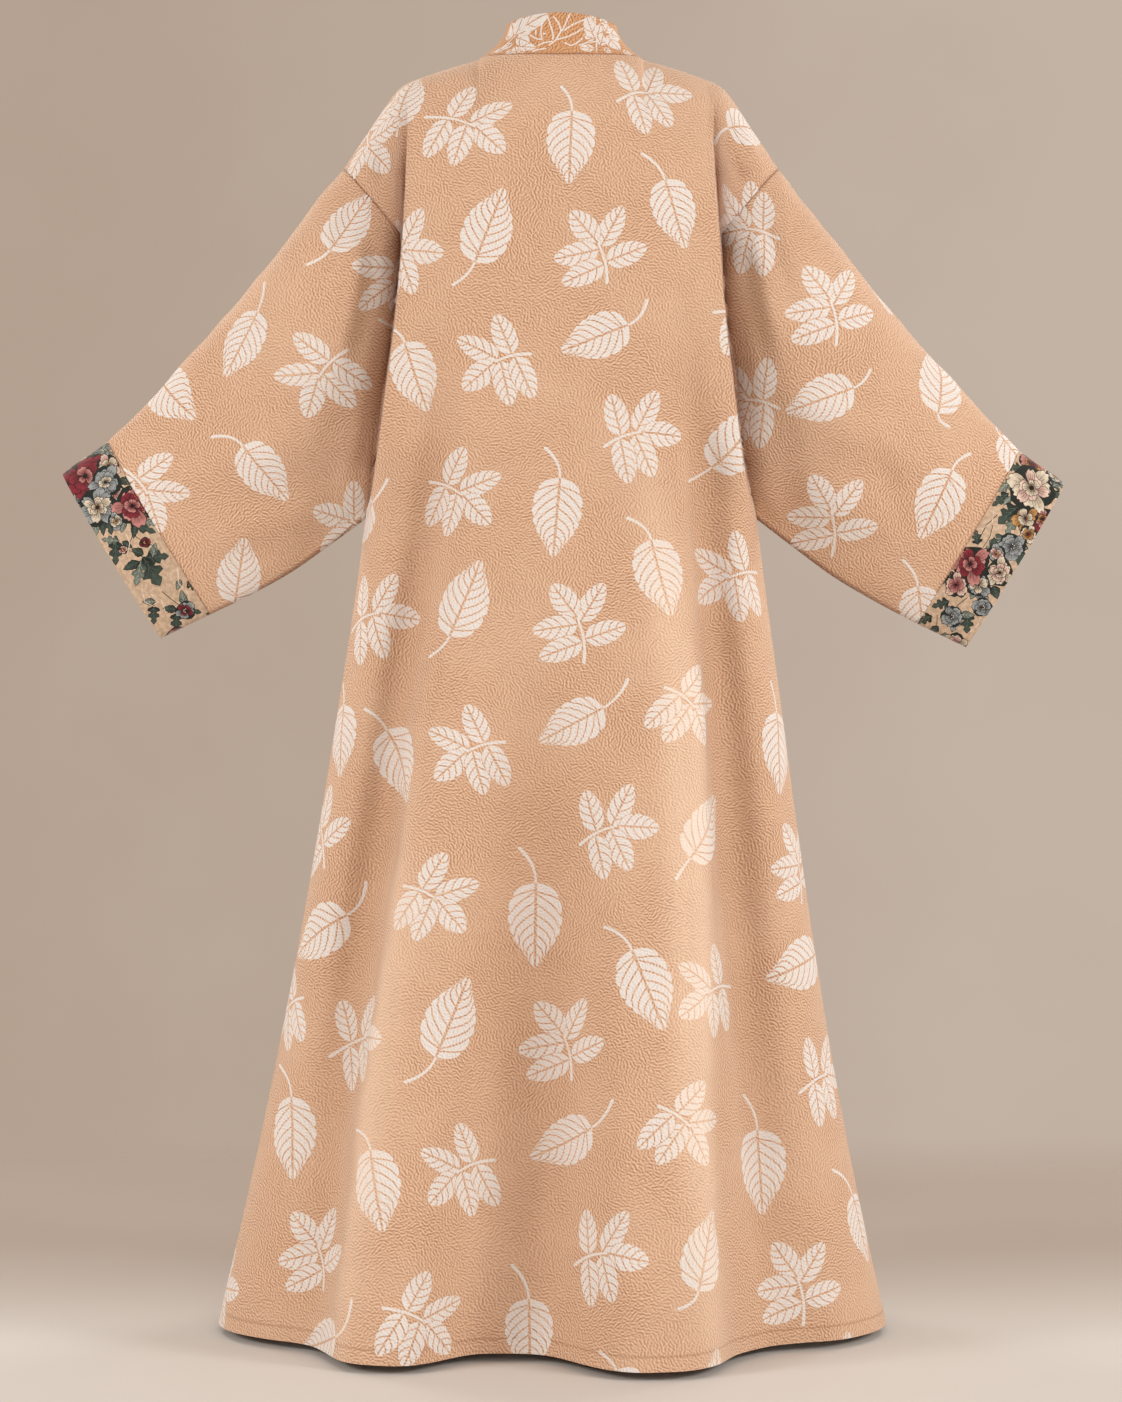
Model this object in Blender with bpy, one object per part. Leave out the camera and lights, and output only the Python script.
"""Open-front abaya cloak, worn on nobody: a hollow shell of cut-and-sewn cloth pieces.

Frame: metres, +Z up. The front faces -Y, the wearer's left is +X. The origin is the middle of the
back neck seam's level, between the shoulders that hold the cloak up. The hem is lowest.

Every piece is a grid of points on the middle of its cloth. Neighbours share the points of their seam,
and so the normals there, which makes each seam a clean mitre with a small gap.
"""

import bpy
import numpy as np

# ---- Driving sizes ----
WALL = 0.0018  # thick crepe
SEAM_GAP = 0.0003
HEM_Z = -1.363  # back neck seam to hem
HEM_TURNING = 0.015  # depth of the turned-up hem, where the cloth is doubled
HEM_STEP = 0.002  # the short slope at the top of the turning
YOKE_Z = -0.19  # level where the cloth has come over the shoulders
UNDERARM_Z = -0.4915
SWAY = 0.0095  # how far the hem hangs to the wearer's left

NECK_HALF_WIDTH = 0.088
NECK_BACK = 0.052
NECK_FRONT = 0.105
NECK_SIDE_RISE = 0.005
NECK_FRONT_DROP = 0.080
NECK_SCOOP = 1.6  # how late the front of the neck dips: the power of its curve
NECK_BLEND_X = 0.13  # out to here the shoulder seam leaves the neck's height
SHOULDER_SLOPE = -0.346
SHOULDER_CORNER = (0.1745, -0.0233)  # x, z where the shoulder line turns down the arm
ARM_SLOPE = -1.49
CORNER_SHARPNESS = 200.0  # per metre
DROP_SEAM_X = 0.2355  # top of the armhole, on the dropped shoulder

FRONT_GAP_TOP = 0.0015  # half the gap between the front edges
FRONT_GAP_HEM = 0.014
FRONT_GAP_START_Z = -0.10  # where the gap begins to widen

COLLAR_RISE = 0.047
COLLAR_TOP_HALF_WIDTH = 0.060
COLLAR_TOP_BACK = 0.040
COLLAR_TOP_FRONT = 0.080
COLLAR_TOP_SIDE_FALL = 0.006
COLLAR_TOP_FRONT_FALL = 0.071
COLLAR_FLARE = 1.8  # how early the band draws in towards the neck

# ---- Columns that run down each half of a panel, from its middle to its side ----
# name, knot, share of the fold's x, top x on the neck or shoulder line, share of the quarter turn below
COLUMNS = (
    ("middle", 0.0, 0.00, 0.0000, 0.00),
    ("inner", 1.0, 0.27, 0.0622, 0.20),
    ("neck", 2.0, 0.54, 0.0880, 0.40),
    ("brink", 3.1, 0.86, 0.1350, 0.62),
    ("fold", 3.7, 1.00, 0.1700, 0.76),
    ("wrap", 4.2, 1.00, 0.2030, 0.88),
    ("seam", 4.7, 1.00, DROP_SEAM_X, 1.00),
)
NECK, BRINK, WRAP, SEAM = 2, 3, 5, 6  # places of four of them in the table
KNOTS = np.array([column[1] for column in COLUMNS])
FOLD_SHARES = np.array([column[2] for column in COLUMNS])
TOP_XS = np.array([column[3] for column in COLUMNS])
TURN_SHARES = np.array([column[4] for column in COLUMNS])
NECK_KNOT = KNOTS[NECK]
SPANS = (3, 3, 6, 3, 3, 2)  # steps between one column and the next

# ---- Upper panels: z, depth at the middle, fold edge x and y, armhole seam x and y ----
BACK_UPPER = (
    (-0.1900, 0.100, 0.1675, 0.083, 0.1715, 0.053),
    (-0.2800, 0.107, 0.1755, 0.082, 0.1680, 0.046),
    (-0.3300, 0.108, 0.1830, 0.081, 0.1730, 0.045),
    (-0.3900, 0.109, 0.1895, 0.077, 0.1810, 0.043),
    (-0.4500, 0.110, 0.1985, 0.067, 0.1955, 0.028),
    (-0.4915, 0.110, 0.2060, 0.050, 0.2115, 0.000),
    (-0.6000, 0.110, 0.2120, 0.045, 0.2255, 0.000),
)
FRONT_UPPER = (
    (-0.1900, 0.122, 0.1630, 0.088, 0.1730, 0.052),
    (-0.2800, 0.132, 0.1700, 0.090, 0.1710, 0.048),
    (-0.3300, 0.134, 0.1770, 0.090, 0.1750, 0.046),
    (-0.3900, 0.134, 0.1850, 0.086, 0.1830, 0.042),
    (-0.4500, 0.132, 0.1960, 0.072, 0.1960, 0.029),
    (-0.4915, 0.131, 0.2050, 0.053, 0.2115, 0.000),
    (-0.6000, 0.131, 0.2120, 0.048, 0.2255, 0.000),
)
BRINK_INSET = 0.024
SECTION_FLATNESS = 4.0  # power of the curve from the middle to the fold edge
WRAP_ACROSS = 0.2  # where the wrap column lies between fold and seam, sideways
WRAP_DEEP = 0.45  # and in depth
CAP_DENT = 0.012  # the pinch beside the fold edge, over the shoulder cap
CAP_DENT_SPREAD = 0.42  # in knots
CAP_DENT_DROPS = (0.12, 0.5, 0.6, 1.0)  # drops where it starts, is full, begins to fade and ends
OVER_SHOULDER_ROUNDNESS = (0.85, 0.58, 0.50)  # at the middle, the neck's side and the armhole
BLEND_TOP_Z, BLEND_LOW_Z = -0.40, -0.56  # where the folded section turns into a plain oval

# ---- Body below the arms: z, half width, depth of back, depth of front ----
TRUNK = (
    (-0.4000, 0.2030, 0.109, 0.131),
    (-0.4915, 0.2115, 0.110, 0.131),
    (-0.5800, 0.2226, 0.112, 0.131),
    (-0.6890, 0.2383, 0.117, 0.133),
    (-0.8190, 0.2573, 0.126, 0.139),
    (-0.9500, 0.2780, 0.136, 0.148),
    (-1.0800, 0.3008, 0.146, 0.158),
    (-1.2100, 0.3268, 0.155, 0.170),
    (-1.3630, 0.3610, 0.165, 0.186),
)

# ---- Hanging folds: side, share of the half width at the start and at the hem, z of the start,
# ---- depth half way down and at the hem, half spread as a share, all along the body ----
BACK_FOLDS = (
    ("left ridge", 1, 0.50, 0.457, -0.45, 0.016, 0.056, 0.166),
    ("left valley", 1, 0.63, 0.800, -0.28, -0.013, -0.006, 0.120),
    ("middle valley", 1, 0.05, 0.125, -0.60, -0.010, -0.012, 0.150),
    ("right ridge", -1, 0.44, 0.277, -0.40, 0.022, 0.073, 0.208),
    ("right valley", -1, 0.76, 0.700, -0.20, -0.014, -0.010, 0.110),
)
FRONT_FOLDS = (
    ("left inner ridge", 1, 0.26, 0.240, -0.42, 0.012, 0.030, 0.120),
    ("left valley", 1, 0.50, 0.480, -0.36, -0.010, -0.020, 0.110),
    ("left outer ridge", 1, 0.66, 0.680, -0.50, 0.010, 0.028, 0.120),
    ("right inner ridge", -1, 0.30, 0.320, -0.38, 0.014, 0.036, 0.140),
    ("right valley", -1, 0.55, 0.560, -0.34, -0.011, -0.018, 0.110),
    ("right outer ridge", -1, 0.70, 0.760, -0.52, 0.008, 0.024, 0.110),
)
FOLD_SHARPNESS = 3.0
FOLD_START = 0.25  # share of a fold's length in which it eases in
FOLD_EDGE_FREE = 0.93  # share of the half width past which folds fade, so that side seams meet

# ---- Sleeve and cuff: share along, top edge x and z, lower edge x and z, half depth, how high the
# ---- fullest place lies (lower is higher) and how blunt the section's ends are (lower is blunter) ----
SLEEVE = (
    (0.00, 0.2367, -0.1135, 0.2115, -0.4915, 0.062, 0.55, 1.00),
    (0.25, 0.2990, -0.1910, 0.2520, -0.5215, 0.066, 0.56, 0.95),
    (0.50, 0.3625, -0.2695, 0.2965, -0.5530, 0.054, 0.60, 0.88),
    (0.75, 0.4280, -0.3435, 0.3410, -0.5780, 0.043, 0.66, 0.80),
    (1.00, 0.4957, -0.4126, 0.3855, -0.6004, 0.033, 0.72, 0.72),
)
CUFF = (
    (0.00, 0.4957, -0.4126, 0.3855, -0.6004, 0.033, 0.72, 0.72),
    (1.00, 0.5440, -0.4495, 0.4387, -0.6260, 0.030, 0.74, 0.70),
)
# side and face, share of the fall at the armhole and at the cuff, share along where it is deepest, depth
SLEEVE_FOLDS = (
    ("left back upper", 1, "back", 0.80, 0.34, 0.42, 0.0050),
    ("left back lower", 1, "back", 0.95, 0.66, 0.48, 0.0045),
    ("left front upper", 1, "front", 0.74, 0.40, 0.40, 0.0050),
    ("left front lower", 1, "front", 0.93, 0.70, 0.50, 0.0040),
    ("right back upper", -1, "back", 0.66, 0.30, 0.45, 0.0060),
    ("right back lower", -1, "back", 0.92, 0.60, 0.42, 0.0045),
    ("right front upper", -1, "front", 0.78, 0.36, 0.44, 0.0050),
    ("right front lower", -1, "front", 0.94, 0.64, 0.50, 0.0045),
)
SLEEVE_FOLD_SPREAD = 0.085  # of the fall from top edge to lower edge
SLEEVE_FOLD_REACH = 0.30  # of the sleeve's length, either way from where it is deepest
SLEEVE_FOLD_ENDS = (0.15, 0.85)  # shares along the sleeve between which folds are whole
SLEEVE_FOLD_LOWEST = 0.9  # share of the fall below which they fade
ARM_FORWARD = 0.012  # how far the cuff lies in front of the shoulder line
ARM_REACH = {1: (-0.0028, 0.0050), -1: (0.0028, -0.0050)}  # x and z of each arm's pose at the cuff
ARMHOLE_FADE = 0.38  # share of the sleeve in which the armhole's shape dies out
DEPTH_FADE = 0.24

# ---- Steps of the grids ----
OVER_SHOULDER = (0.0, 0.02, 0.07, 0.16, 0.30, 0.50, 0.74)
DOWN_ARMHOLE = (0.0, 0.16, 0.32, 0.48, 0.64, 0.78, 0.90, 1.0)  # shares from the yoke to the underarm
SKIRT_STEPS = 13
SLEEVE_STEPS = 11
CUFF_STEPS = 2
COLLAR_STEPS = 4

CLOTH_COLOUR = (0.66, 0.40, 0.25, 1.0)
COLLAR_COLOUR = (0.74, 0.52, 0.37, 1.0)
CUFF_COLOUR = (0.33, 0.27, 0.23, 1.0)
CLOTH_ROUGHNESS = 0.88


# ---- Curves ----
def slopes(knots, values):
    """Slopes of a curve through the values that never swings past them."""
    spans = np.diff(knots)
    spans = spans.reshape((-1,) + (1,) * (values.ndim - 1))
    secants = np.diff(values, axis=0) / spans
    inner = secants[:-1] * secants[1:]
    total = secants[:-1] + secants[1:]
    safe = np.where(np.abs(total) < 1e-12, 1.0, total)
    middle = np.where(inner > 0, 2.0 * inner / safe, 0.0)
    return np.concatenate([secants[:1], middle, secants[-1:]])


def bend(knots, values, at):
    """The smooth curve through (knots, values), read at one place or many."""
    knots = np.asarray(knots, float)
    values = np.asarray(values, float)
    at = np.clip(np.asarray(at, float), knots[0], knots[-1])
    rises = slopes(knots, values)
    span = np.clip(np.searchsorted(knots, at, side="right") - 1, 0, len(knots) - 2)
    width = knots[span + 1] - knots[span]
    t = (at - knots[span]) / width
    return (
        values[span] * (1 + 2 * t) * (1 - t) ** 2
        + rises[span] * width * t * (1 - t) ** 2
        + values[span + 1] * t * t * (3 - 2 * t)
        + rises[span + 1] * width * t * t * (t - 1)
    )


def ease(start, end, at):
    """0 before start, 1 after end, smooth between them."""
    t = np.clip((np.asarray(at, float) - start) / (end - start), 0.0, 1.0)
    return t * t * (3 - 2 * t)


def column_of(table, index):
    return np.array([row[index] for row in table])


def by_level(table, index, z):
    """Reads a table whose first column is z, falling."""
    return bend(-column_of(table, 0), column_of(table, index), -np.asarray(z, float))


# ---- Neck and shoulder lines ----
def shoulder_z(x):
    """Height of the shoulder line: two straight runs with a soft corner between them."""
    corner_x, corner_z = SHOULDER_CORNER
    shoulder = corner_z + SHOULDER_SLOPE * (x - corner_x)
    arm = corner_z + ARM_SLOPE * (x - corner_x)
    low = np.minimum(shoulder, arm)
    apart = np.abs(shoulder - arm)
    return low - np.log1p(np.exp(-CORNER_SHARPNESS * apart)) / CORNER_SHARPNESS


def neck_point(face, knot):
    """A point of the neck seam, from the middle of the face (knot 0) to the shoulder line."""
    angle = np.pi / 2 * knot / NECK_KNOT
    if face == "back":
        x = NECK_HALF_WIDTH * np.sin(angle)
        return x, NECK_BACK * np.cos(angle), NECK_SIDE_RISE * np.sin(angle) ** 2
    x = np.maximum(NECK_HALF_WIDTH * np.sin(angle), FRONT_GAP_TOP)
    fall = NECK_FRONT_DROP * np.cos(angle) ** NECK_SCOOP
    return x, -NECK_FRONT * np.cos(angle), NECK_SIDE_RISE - fall


def top_point(face, knot):
    """The upper edge of a panel: the neck seam, then the shoulder seam out to the armhole."""
    if knot <= NECK_KNOT:
        return neck_point(face, knot)
    x = bend(KNOTS, TOP_XS, knot)
    lift = shoulder_z(NECK_HALF_WIDTH) - NECK_SIDE_RISE
    return x, 0.0, shoulder_z(x) - lift * (1 - ease(NECK_HALF_WIDTH, NECK_BLEND_X, x))


# ---- Body ----
def upper_section(face, z):
    """x and y of the named columns at one level of the folded part."""
    table = BACK_UPPER if face == "back" else FRONT_UPPER
    depth, fold_x, fold_y, seam_x, seam_y = (by_level(table, i, z) for i in range(1, 6))
    xs = FOLD_SHARES * fold_x
    xs[BRINK] = fold_x - BRINK_INSET
    ys = depth - (depth - fold_y) * (xs / fold_x) ** SECTION_FLATNESS
    xs[WRAP] = fold_x + (seam_x - fold_x) * WRAP_ACROSS
    ys[WRAP] = fold_y + (seam_y - fold_y) * WRAP_DEEP
    xs[SEAM], ys[SEAM] = seam_x, seam_y
    return xs, ys


def across(xs, ys, knot):
    """The section at one knot, mirrored past the middle so that it is level there."""
    knots = np.concatenate([[-KNOTS[1]], KNOTS])
    x = bend(knots, np.concatenate([[-xs[1]], xs]), knot)
    y = bend(knots, np.concatenate([[ys[1]], ys]), knot)
    return x, y


def folded_share(z):
    return 1 - ease(-BLEND_TOP_Z, -BLEND_LOW_Z, -z)


def section_point(face, knot, z):
    """x and depth of the cloth at a level below the yoke, before the hanging folds."""
    half_width = by_level(TRUNK, 1, z)
    depth = by_level(TRUNK, 2 if face == "back" else 3, z)
    angle = np.pi / 2 * bend(KNOTS, TURN_SHARES, knot)
    oval_x, oval_y = half_width * np.sin(angle), depth * np.cos(angle)
    fold_x, fold_y = across(*upper_section(face, z), knot)
    folded = folded_share(z)
    return oval_x + (fold_x - oval_x) * folded, oval_y + (fold_y - oval_y) * folded


def hanging_folds(face, side, x, y, z):
    """How far the hanging folds push the cloth out, along the oval's normal."""
    half_width = by_level(TRUNK, 1, z)
    depth = by_level(TRUNK, 2 if face == "back" else 3, z)
    share = side * x / half_width
    push = 0.0
    for _, fold_side, start, end, start_z, middle_depth, hem_depth, spread in (
        BACK_FOLDS if face == "back" else FRONT_FOLDS
    ):
        down = np.clip((start_z - z) / (start_z - HEM_Z), 0.0, 1.0)
        centre = fold_side * (start + (end - start) * down)
        strength = bend([0.0, 0.5, 1.0], [0.0, middle_depth, hem_depth], down)
        strength = strength * ease(0, FOLD_START, down)
        push = push + strength * np.exp(-(np.abs((share - centre) / spread) ** FOLD_SHARPNESS))
    push = push * (1 - ease(FOLD_EDGE_FREE, 1.0, np.abs(share)))
    normal = np.array([x / half_width**2, y / depth**2])
    return push * normal / np.linalg.norm(normal)


def sway(z):
    return SWAY * ease(-UNDERARM_Z, -HEM_Z, -z)


def front_gap(z):
    return FRONT_GAP_TOP + (FRONT_GAP_HEM - FRONT_GAP_TOP) * ease(-FRONT_GAP_START_Z, -HEM_Z, -z)


def body_point(face, side, knot, drop):
    """A point of the cloth: side 1 is the wearer's left, drop runs 0 (top edge), 1 (yoke), 2 (hem)."""
    outward = 1.0 if face == "back" else -1.0
    if drop <= 1.0:
        top_x, top_y, top_z = top_point(face, knot)
        yoke_x, yoke_y = section_point(face, knot, YOKE_Z)
        z = top_z + (YOKE_Z - top_z) * drop
        x = top_x + (yoke_x - top_x) * drop
        roundness = bend([0.0, NECK_KNOT, KNOTS[SEAM]], OVER_SHOULDER_ROUNDNESS, knot)
        out = abs(top_y) + (yoke_y - abs(top_y)) * (1 - (1 - drop) ** 2) ** roundness
        beside = np.exp(-(((knot - KNOTS[WRAP]) / CAP_DENT_SPREAD) ** 2))
        start, full, fading, end = CAP_DENT_DROPS
        out = out - CAP_DENT * beside * ease(start, full, drop) * (1 - ease(fading, end, drop))
    else:
        z = YOKE_Z + (HEM_Z - YOKE_Z) * (drop - 1.0)
        x, out = section_point(face, knot, z)
    push_x, push_y = hanging_folds(face, side, x, out, z)
    x, out = x + push_x, out + push_y
    if face == "front":
        x = np.maximum(x, front_gap(z)) if knot > 0 else front_gap(z)
    return np.array([side * x + sway(z), outward * out, z])


def level_drop(z):
    return 1.0 + (z - YOKE_Z) / (HEM_Z - YOKE_Z)


def drops():
    """The rows of every panel, from the top edge to the hem."""
    armhole = 1.0 + (level_drop(UNDERARM_Z) - 1.0) * np.array(DOWN_ARMHOLE)
    turning_z = HEM_Z + HEM_TURNING
    skirt = np.linspace(level_drop(UNDERARM_Z), level_drop(turning_z), SKIRT_STEPS + 1)[1:]
    hem = [level_drop(turning_z - HEM_STEP), 2.0]
    return np.concatenate([OVER_SHOULDER, armhole, skirt, hem])


def knots():
    """The columns of half a panel, from its middle to its side."""
    runs = [np.linspace(KNOTS[i], KNOTS[i + 1], n + 1)[:-1] for i, n in enumerate(SPANS)]
    return np.concatenate([*runs, KNOTS[-1:]])


ARMHOLE_ROWS = len(OVER_SHOULDER) + len(DOWN_ARMHOLE)  # rows from the top edge to the underarm
NECK_COLUMNS = SPANS[0] + SPANS[1] + 1


def half_grid(face, side):
    return np.array([[body_point(face, side, knot, drop) for knot in knots()] for drop in drops()])


# ---- Sleeves and cuffs ----
def armhole(halves, side):
    """The armhole from its top to the underarm, as the seam columns of back and front."""
    back = halves["back", side][:ARMHOLE_ROWS, -1]
    front = halves["front", side][:ARMHOLE_ROWS, -1]
    return back, front


def tube_ring(table, share, side, falls, forward, reach):
    """Back and front runs of one ring, from the sleeve's top edge to its lower edge."""
    read = [bend(column_of(table, 0), column_of(table, i), share) for i in range(1, 8)]
    top_x, top_z, low_x, low_z, half_depth, skew, blunt = read
    reach_x, reach_z = reach
    x = side * (top_x + (low_x - top_x) * falls + reach_x)
    z = top_z + (low_z - top_z) * falls + reach_z
    swell = half_depth * np.sin(np.pi * np.clip(falls, 0, 1) ** skew) ** blunt
    swell[0] = swell[-1] = 0.0
    back = np.stack([x, swell - forward, z], axis=1)
    front = np.stack([x, -swell - forward, z], axis=1)
    return back, front


def sleeve_folds(side, face, share, falls):
    """How far the sleeve's soft folds push one run of a ring out."""
    push = np.zeros_like(falls)
    for _, fold_side, fold_face, start, end, deepest, depth in SLEEVE_FOLDS:
        if (fold_side, fold_face) != (side, face):
            continue
        centre = start + (end - start) * share
        strength = depth * np.exp(-(((share - deepest) / SLEEVE_FOLD_REACH) ** 2))
        push += strength * np.exp(-(((falls - centre) / SLEEVE_FOLD_SPREAD) ** 2))
    first, last = SLEEVE_FOLD_ENDS
    push *= ease(0.0, first, share) * (1 - ease(last, 1.0, share))
    return push * (1 - ease(SLEEVE_FOLD_LOWEST, 1.0, falls))


def closed_ring(back, front):
    """One loop: down the back from the top edge, then up the front."""
    return np.concatenate([back, front[-2:0:-1]])


def sleeve_grid(halves, side):
    seam_back, seam_front = armhole(halves, side)
    falls = (seam_back[:, 2] - seam_back[0, 2]) / (seam_back[-1, 2] - seam_back[0, 2])
    reach = np.array(ARM_REACH[side])
    rings = []
    for share in np.linspace(0.0, 1.0, SLEEVE_STEPS + 1):
        grown = ease(0.0, 1.0, share)
        runs = tube_ring(SLEEVE, share, side, falls, ARM_FORWARD * grown, reach * share)
        start = tube_ring(SLEEVE, 0.0, side, falls, 0.0, reach * 0.0)
        shape_left = 1 - ease(0.0, ARMHOLE_FADE, share)
        depth_left = 1 - ease(0.0, DEPTH_FADE, share)
        shaped = []
        for run, first, seam in zip(runs, start, (seam_back, seam_front)):
            left = np.array([shape_left, depth_left, shape_left])
            shaped.append(run + (seam - first) * left)
        shaped[0][:, 1] += sleeve_folds(side, "back", share, falls)
        shaped[1][:, 1] -= sleeve_folds(side, "front", share, falls)
        rings.append(closed_ring(*shaped))
    return np.array(rings), falls


def cuff_grid(side, falls, last_ring):
    reach = np.array(ARM_REACH[side])
    rings = [last_ring]
    for share in np.linspace(0.0, 1.0, CUFF_STEPS + 1)[1:]:
        rings.append(closed_ring(*tube_ring(CUFF, share, side, falls, ARM_FORWARD, reach)))
    return np.array(rings)


# ---- Collar ----
def collar_top(face, knot):
    angle = np.pi / 2 * knot / NECK_KNOT
    side_z = COLLAR_RISE - COLLAR_TOP_SIDE_FALL
    if face == "back":
        z = COLLAR_RISE - COLLAR_TOP_SIDE_FALL * np.sin(angle) ** 2
        return COLLAR_TOP_HALF_WIDTH * np.sin(angle), COLLAR_TOP_BACK * np.cos(angle), z
    x = np.maximum(COLLAR_TOP_HALF_WIDTH * np.sin(angle), FRONT_GAP_TOP)
    fall = COLLAR_TOP_FRONT_FALL * np.cos(angle) ** NECK_SCOOP
    return x, -COLLAR_TOP_FRONT * np.cos(angle), side_z - fall


def collar_run(halves, face, side):
    """The neck seam of one quarter, from the middle of the face, with the point above each one."""
    base = halves[face, side][0, :NECK_COLUMNS]
    flip = np.array([side, 1.0, 1.0])
    top = np.array([collar_top(face, knot) * flip for knot in knots()[:NECK_COLUMNS]])
    return base, top


def collar_grid(halves):
    """Rows from the neck seam up, columns from the wearer's left front edge round the back."""
    runs = [collar_run(halves, face, side) for face, side in (("front", 1), ("back", 1))]
    runs += [collar_run(halves, face, side) for face, side in (("back", -1), ("front", -1))]
    left_front, left_back, right_back, right_front = runs
    base, top = (
        np.concatenate(
            [left_front[i], left_back[i][-2::-1], right_back[i][1:], right_front[i][-2::-1]]
        )
        for i in (0, 1)
    )
    rows = []
    for rise in np.linspace(0.0, 1.0, COLLAR_STEPS + 1):
        drawn_in = 1 - (1 - rise) ** COLLAR_FLARE
        flat = base[:, :2] + (top[:, :2] - base[:, :2]) * drawn_in
        height = base[:, 2:] + (top[:, 2:] - base[:, 2:]) * rise
        rows.append(np.concatenate([flat, height], axis=1))
    return np.array(rows)


# ---- Cloth walls ----
class Piece:
    """A grid of cloth. `seams` names the edges that are sewn to a neighbour, `ring` closes the columns
    into a tube, and `turned` swaps which side of the grid faces out."""

    def __init__(self, name, grid, seams, colour, ring=False, turned=False, hemmed=False):
        self.name, self.grid, self.seams, self.colour = name, grid, seams, colour
        self.ring, self.turned, self.hemmed = ring, turned, hemmed
        # Quads are halved along mirrored lines on the two sides of a piece's middle.
        self.mirrored_columns = 0 if name.startswith("front") else grid.shape[1] // 2

    def normals(self):
        """Outward normals, averaged from the faces round each point."""
        grid = np.concatenate([self.grid, self.grid[:, :1]], axis=1) if self.ring else self.grid
        along = grid[1:, 1:] - grid[:-1, :-1]
        over = grid[1:, :-1] - grid[:-1, 1:]
        face = np.cross(over, along) * (-1.0 if self.turned else 1.0)
        total = np.zeros_like(grid)
        for rows, columns in ((slice(None, -1), slice(None, -1)), (slice(1, None), slice(None, -1))):
            total[rows, columns] += face
        for rows, columns in ((slice(None, -1), slice(1, None)), (slice(1, None), slice(1, None))):
            total[rows, columns] += face
        if self.ring:
            total[:, 0] += total[:, -1]
            total = total[:, :-1]
        return total / np.linalg.norm(total, axis=2, keepdims=True)

    def opened(self, normals):
        """The grid with its sewn edges drawn back from the seam by half the gap."""
        grid = self.grid.copy()
        edges = {
            "start": (self.grid[0], self.grid[1], normals[0], (0, slice(None))),
            "end": (self.grid[-1], self.grid[-2], normals[-1], (-1, slice(None))),
            "first": (self.grid[:, 0], self.grid[:, 1], normals[:, 0], (slice(None), 0)),
            "last": (self.grid[:, -1], self.grid[:, -2], normals[:, -1], (slice(None), -1)),
        }
        for edge in self.seams:
            line, inner, normal, place = edges[edge]
            wrap = self.ring and edge in ("start", "end")
            run = np.roll(line, -1, 0) - np.roll(line, 1, 0) if wrap else np.gradient(line, axis=0)
            away = np.cross(run, normal)
            away *= np.sign(np.sum(away * (inner - line), axis=1, keepdims=True))
            away /= np.linalg.norm(away, axis=1, keepdims=True)
            grid[place] += away * SEAM_GAP / 2
        return grid


def unit(vector):
    return vector / np.linalg.norm(vector)


def place_key(point):
    return tuple(np.round(point, 6) + 0.0)


def shared_normals(pieces):
    """Each piece's normals, where points that several pieces share have one normal. Back and fronts
    count together as the body, so that a sleeve or the collar weighs as much as they do."""
    found = [piece.normals() for piece in pieces]
    totals = {}
    for piece, normals in zip(pieces, found):
        group = piece.name if piece.ring or piece.name == "collar" else "body"
        for point, normal in zip(piece.grid.reshape(-1, 3), normals.reshape(-1, 3)):
            groups = totals.setdefault(place_key(point), {})
            groups[group] = groups.get(group, 0) + normal
    shared = {
        key: unit(sum(unit(total) for total in groups.values())) for key, groups in totals.items()
    }
    return [
        np.reshape([shared[place_key(point)] for point in piece.grid.reshape(-1, 3)], piece.grid.shape)
        for piece in pieces
    ]


def material(name, colour):
    made = bpy.data.materials.new(name)
    made.use_nodes = True
    shader = made.node_tree.nodes["Principled BSDF"]
    shader.inputs["Base Color"].default_value = colour
    shader.inputs["Roughness"].default_value = CLOTH_ROUGHNESS
    return made


def halved(corners, reverse):
    """Two triangles with the first and third corner in common."""
    a, b, c, d = corners
    faces = [[a, b, c], [a, c, d]]
    return [face[::-1] for face in faces] if reverse else faces


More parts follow.
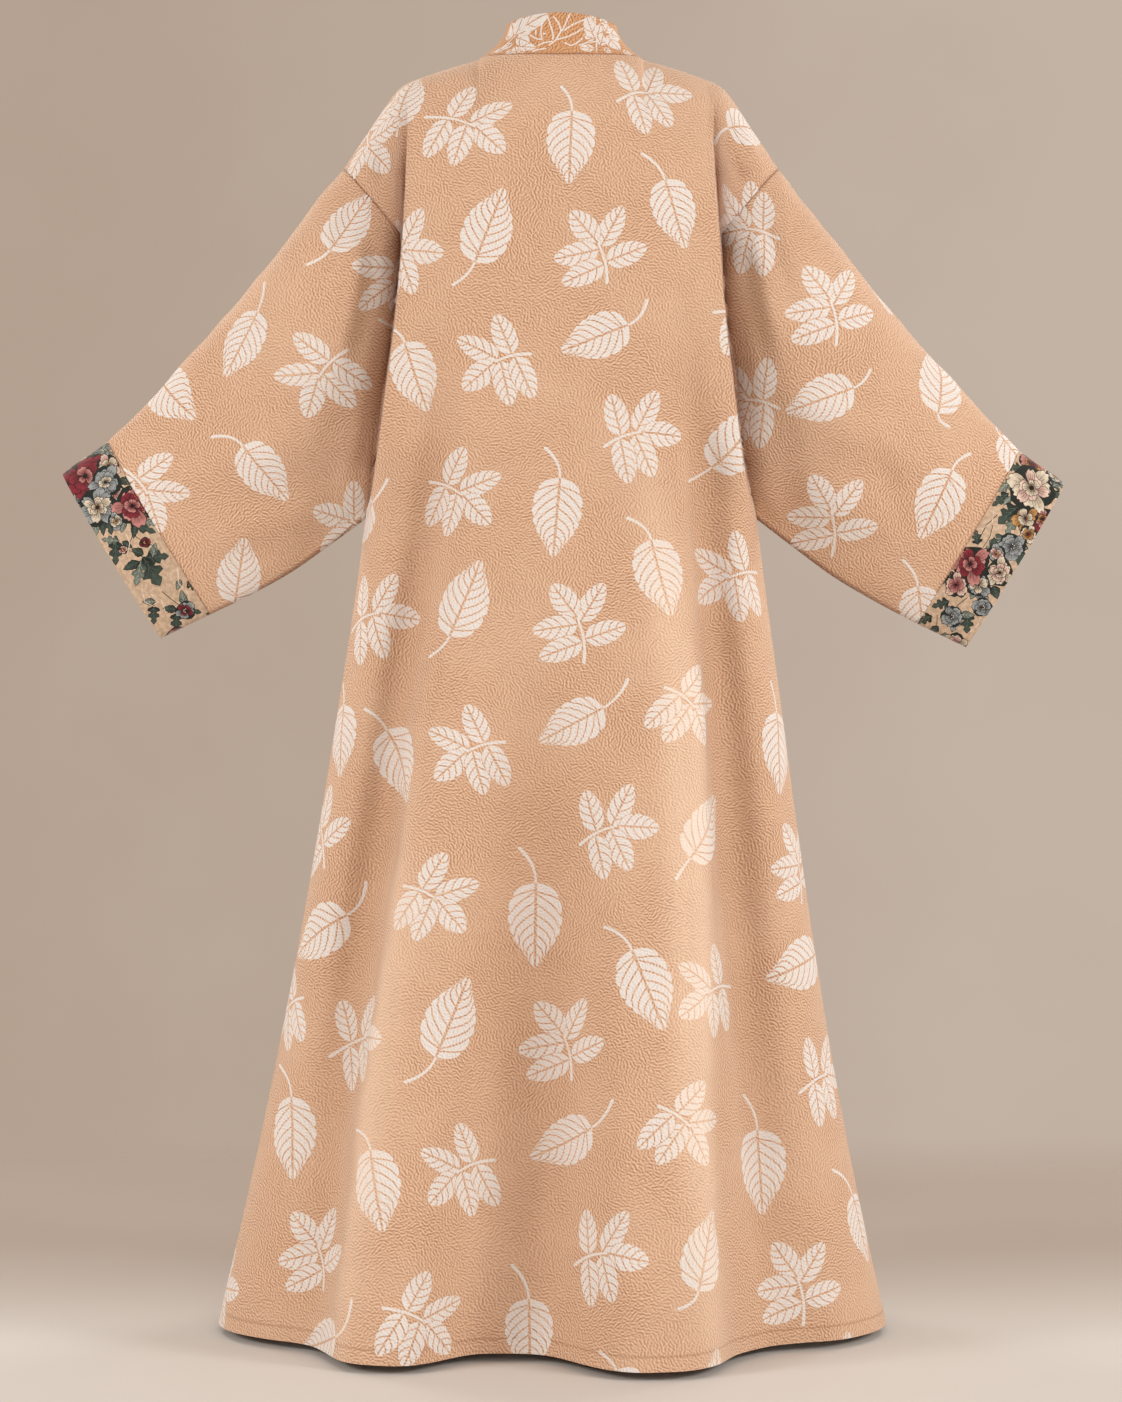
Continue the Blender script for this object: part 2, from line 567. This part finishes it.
def add_wall(piece, normals):
    """One closed wall of cloth round the piece's grid."""
    middle = piece.opened(normals)
    inward = np.full(middle.shape[:2] + (1,), WALL / 2)
    if piece.hemmed:
        inward[-2:] += WALL
    outer, inner = middle + normals * WALL / 2, middle - normals * inward
    rows, columns = middle.shape[:2]
    points = np.concatenate([outer.reshape(-1, 3), inner.reshape(-1, 3)])

    def index(layer, row, column):
        return layer * rows * columns + row * columns + column % columns

    faces = []
    last_column = columns if piece.ring else columns - 1
    for row in range(rows - 1):
        for column in range(last_column):
            below, beside = row + 1, column + 1
            corners = [(row, column), (below, column), (below, beside), (row, beside)]
            if column < piece.mirrored_columns:
                corners = corners[1:] + corners[:1]
            faces += halved([index(0, *corner) for corner in corners], False)
            faces += halved([index(1, *corner) for corner in corners], True)
    edges = [((0, column + 1), (0, column)) for column in range(last_column)]
    edges += [((rows - 1, column), (rows - 1, column + 1)) for column in range(last_column)]
    if not piece.ring:
        edges += [((row, 0), (row + 1, 0)) for row in range(rows - 1)]
        edges += [((row + 1, columns - 1), (row, columns - 1)) for row in range(rows - 1)]
    for one, other in edges:
        rim = [index(0, *other), index(0, *one), index(1, *one), index(1, *other)]
        if other[1] >= piece.mirrored_columns:
            rim = rim[1:] + rim[:1]
        faces += halved(rim, False)
    if piece.turned:
        faces = [face[::-1] for face in faces]
    mesh = bpy.data.meshes.new(piece.name)
    mesh.from_pydata(points.tolist(), [], faces)
    mesh.validate()
    mesh.shade_smooth()
    mesh.materials.append(material(piece.name + "_cloth", piece.colour))
    bpy.context.collection.objects.link(bpy.data.objects.new(piece.name, mesh))


def garment():
    halves = {(face, side): half_grid(face, side) for face in ("back", "front") for side in (1, -1)}
    right_half, left_half = halves["back", -1], halves["back", 1]
    back = np.concatenate([right_half[:, :0:-1], left_half], axis=1)
    all_round = ("start", "first", "last")
    pieces = [Piece("back", back, all_round, CLOTH_COLOUR, turned=True, hemmed=True)]
    for side, name in ((1, "left"), (-1, "right")):
        turned = side == -1
        front = halves["front", side]
        seams = ("start", "last")
        tube = {"ring": True, "turned": turned}
        pieces.append(Piece("front_" + name, front, seams, CLOTH_COLOUR, turned=turned, hemmed=True))
        sleeve, falls = sleeve_grid(halves, side)
        pieces.append(Piece("sleeve_" + name, sleeve, ("start", "end"), CLOTH_COLOUR, **tube))
        cuff = cuff_grid(side, falls, sleeve[-1])
        pieces.append(Piece("cuff_" + name, cuff, ("start",), CUFF_COLOUR, **tube))
    pieces.append(Piece("collar", collar_grid(halves), ("start",), COLLAR_COLOUR, turned=True))
    return pieces


def main():
    for old in list(bpy.data.objects):
        bpy.data.objects.remove(old)
    pieces = garment()
    for piece, normals in zip(pieces, shared_normals(pieces)):
        add_wall(piece, normals)


main()
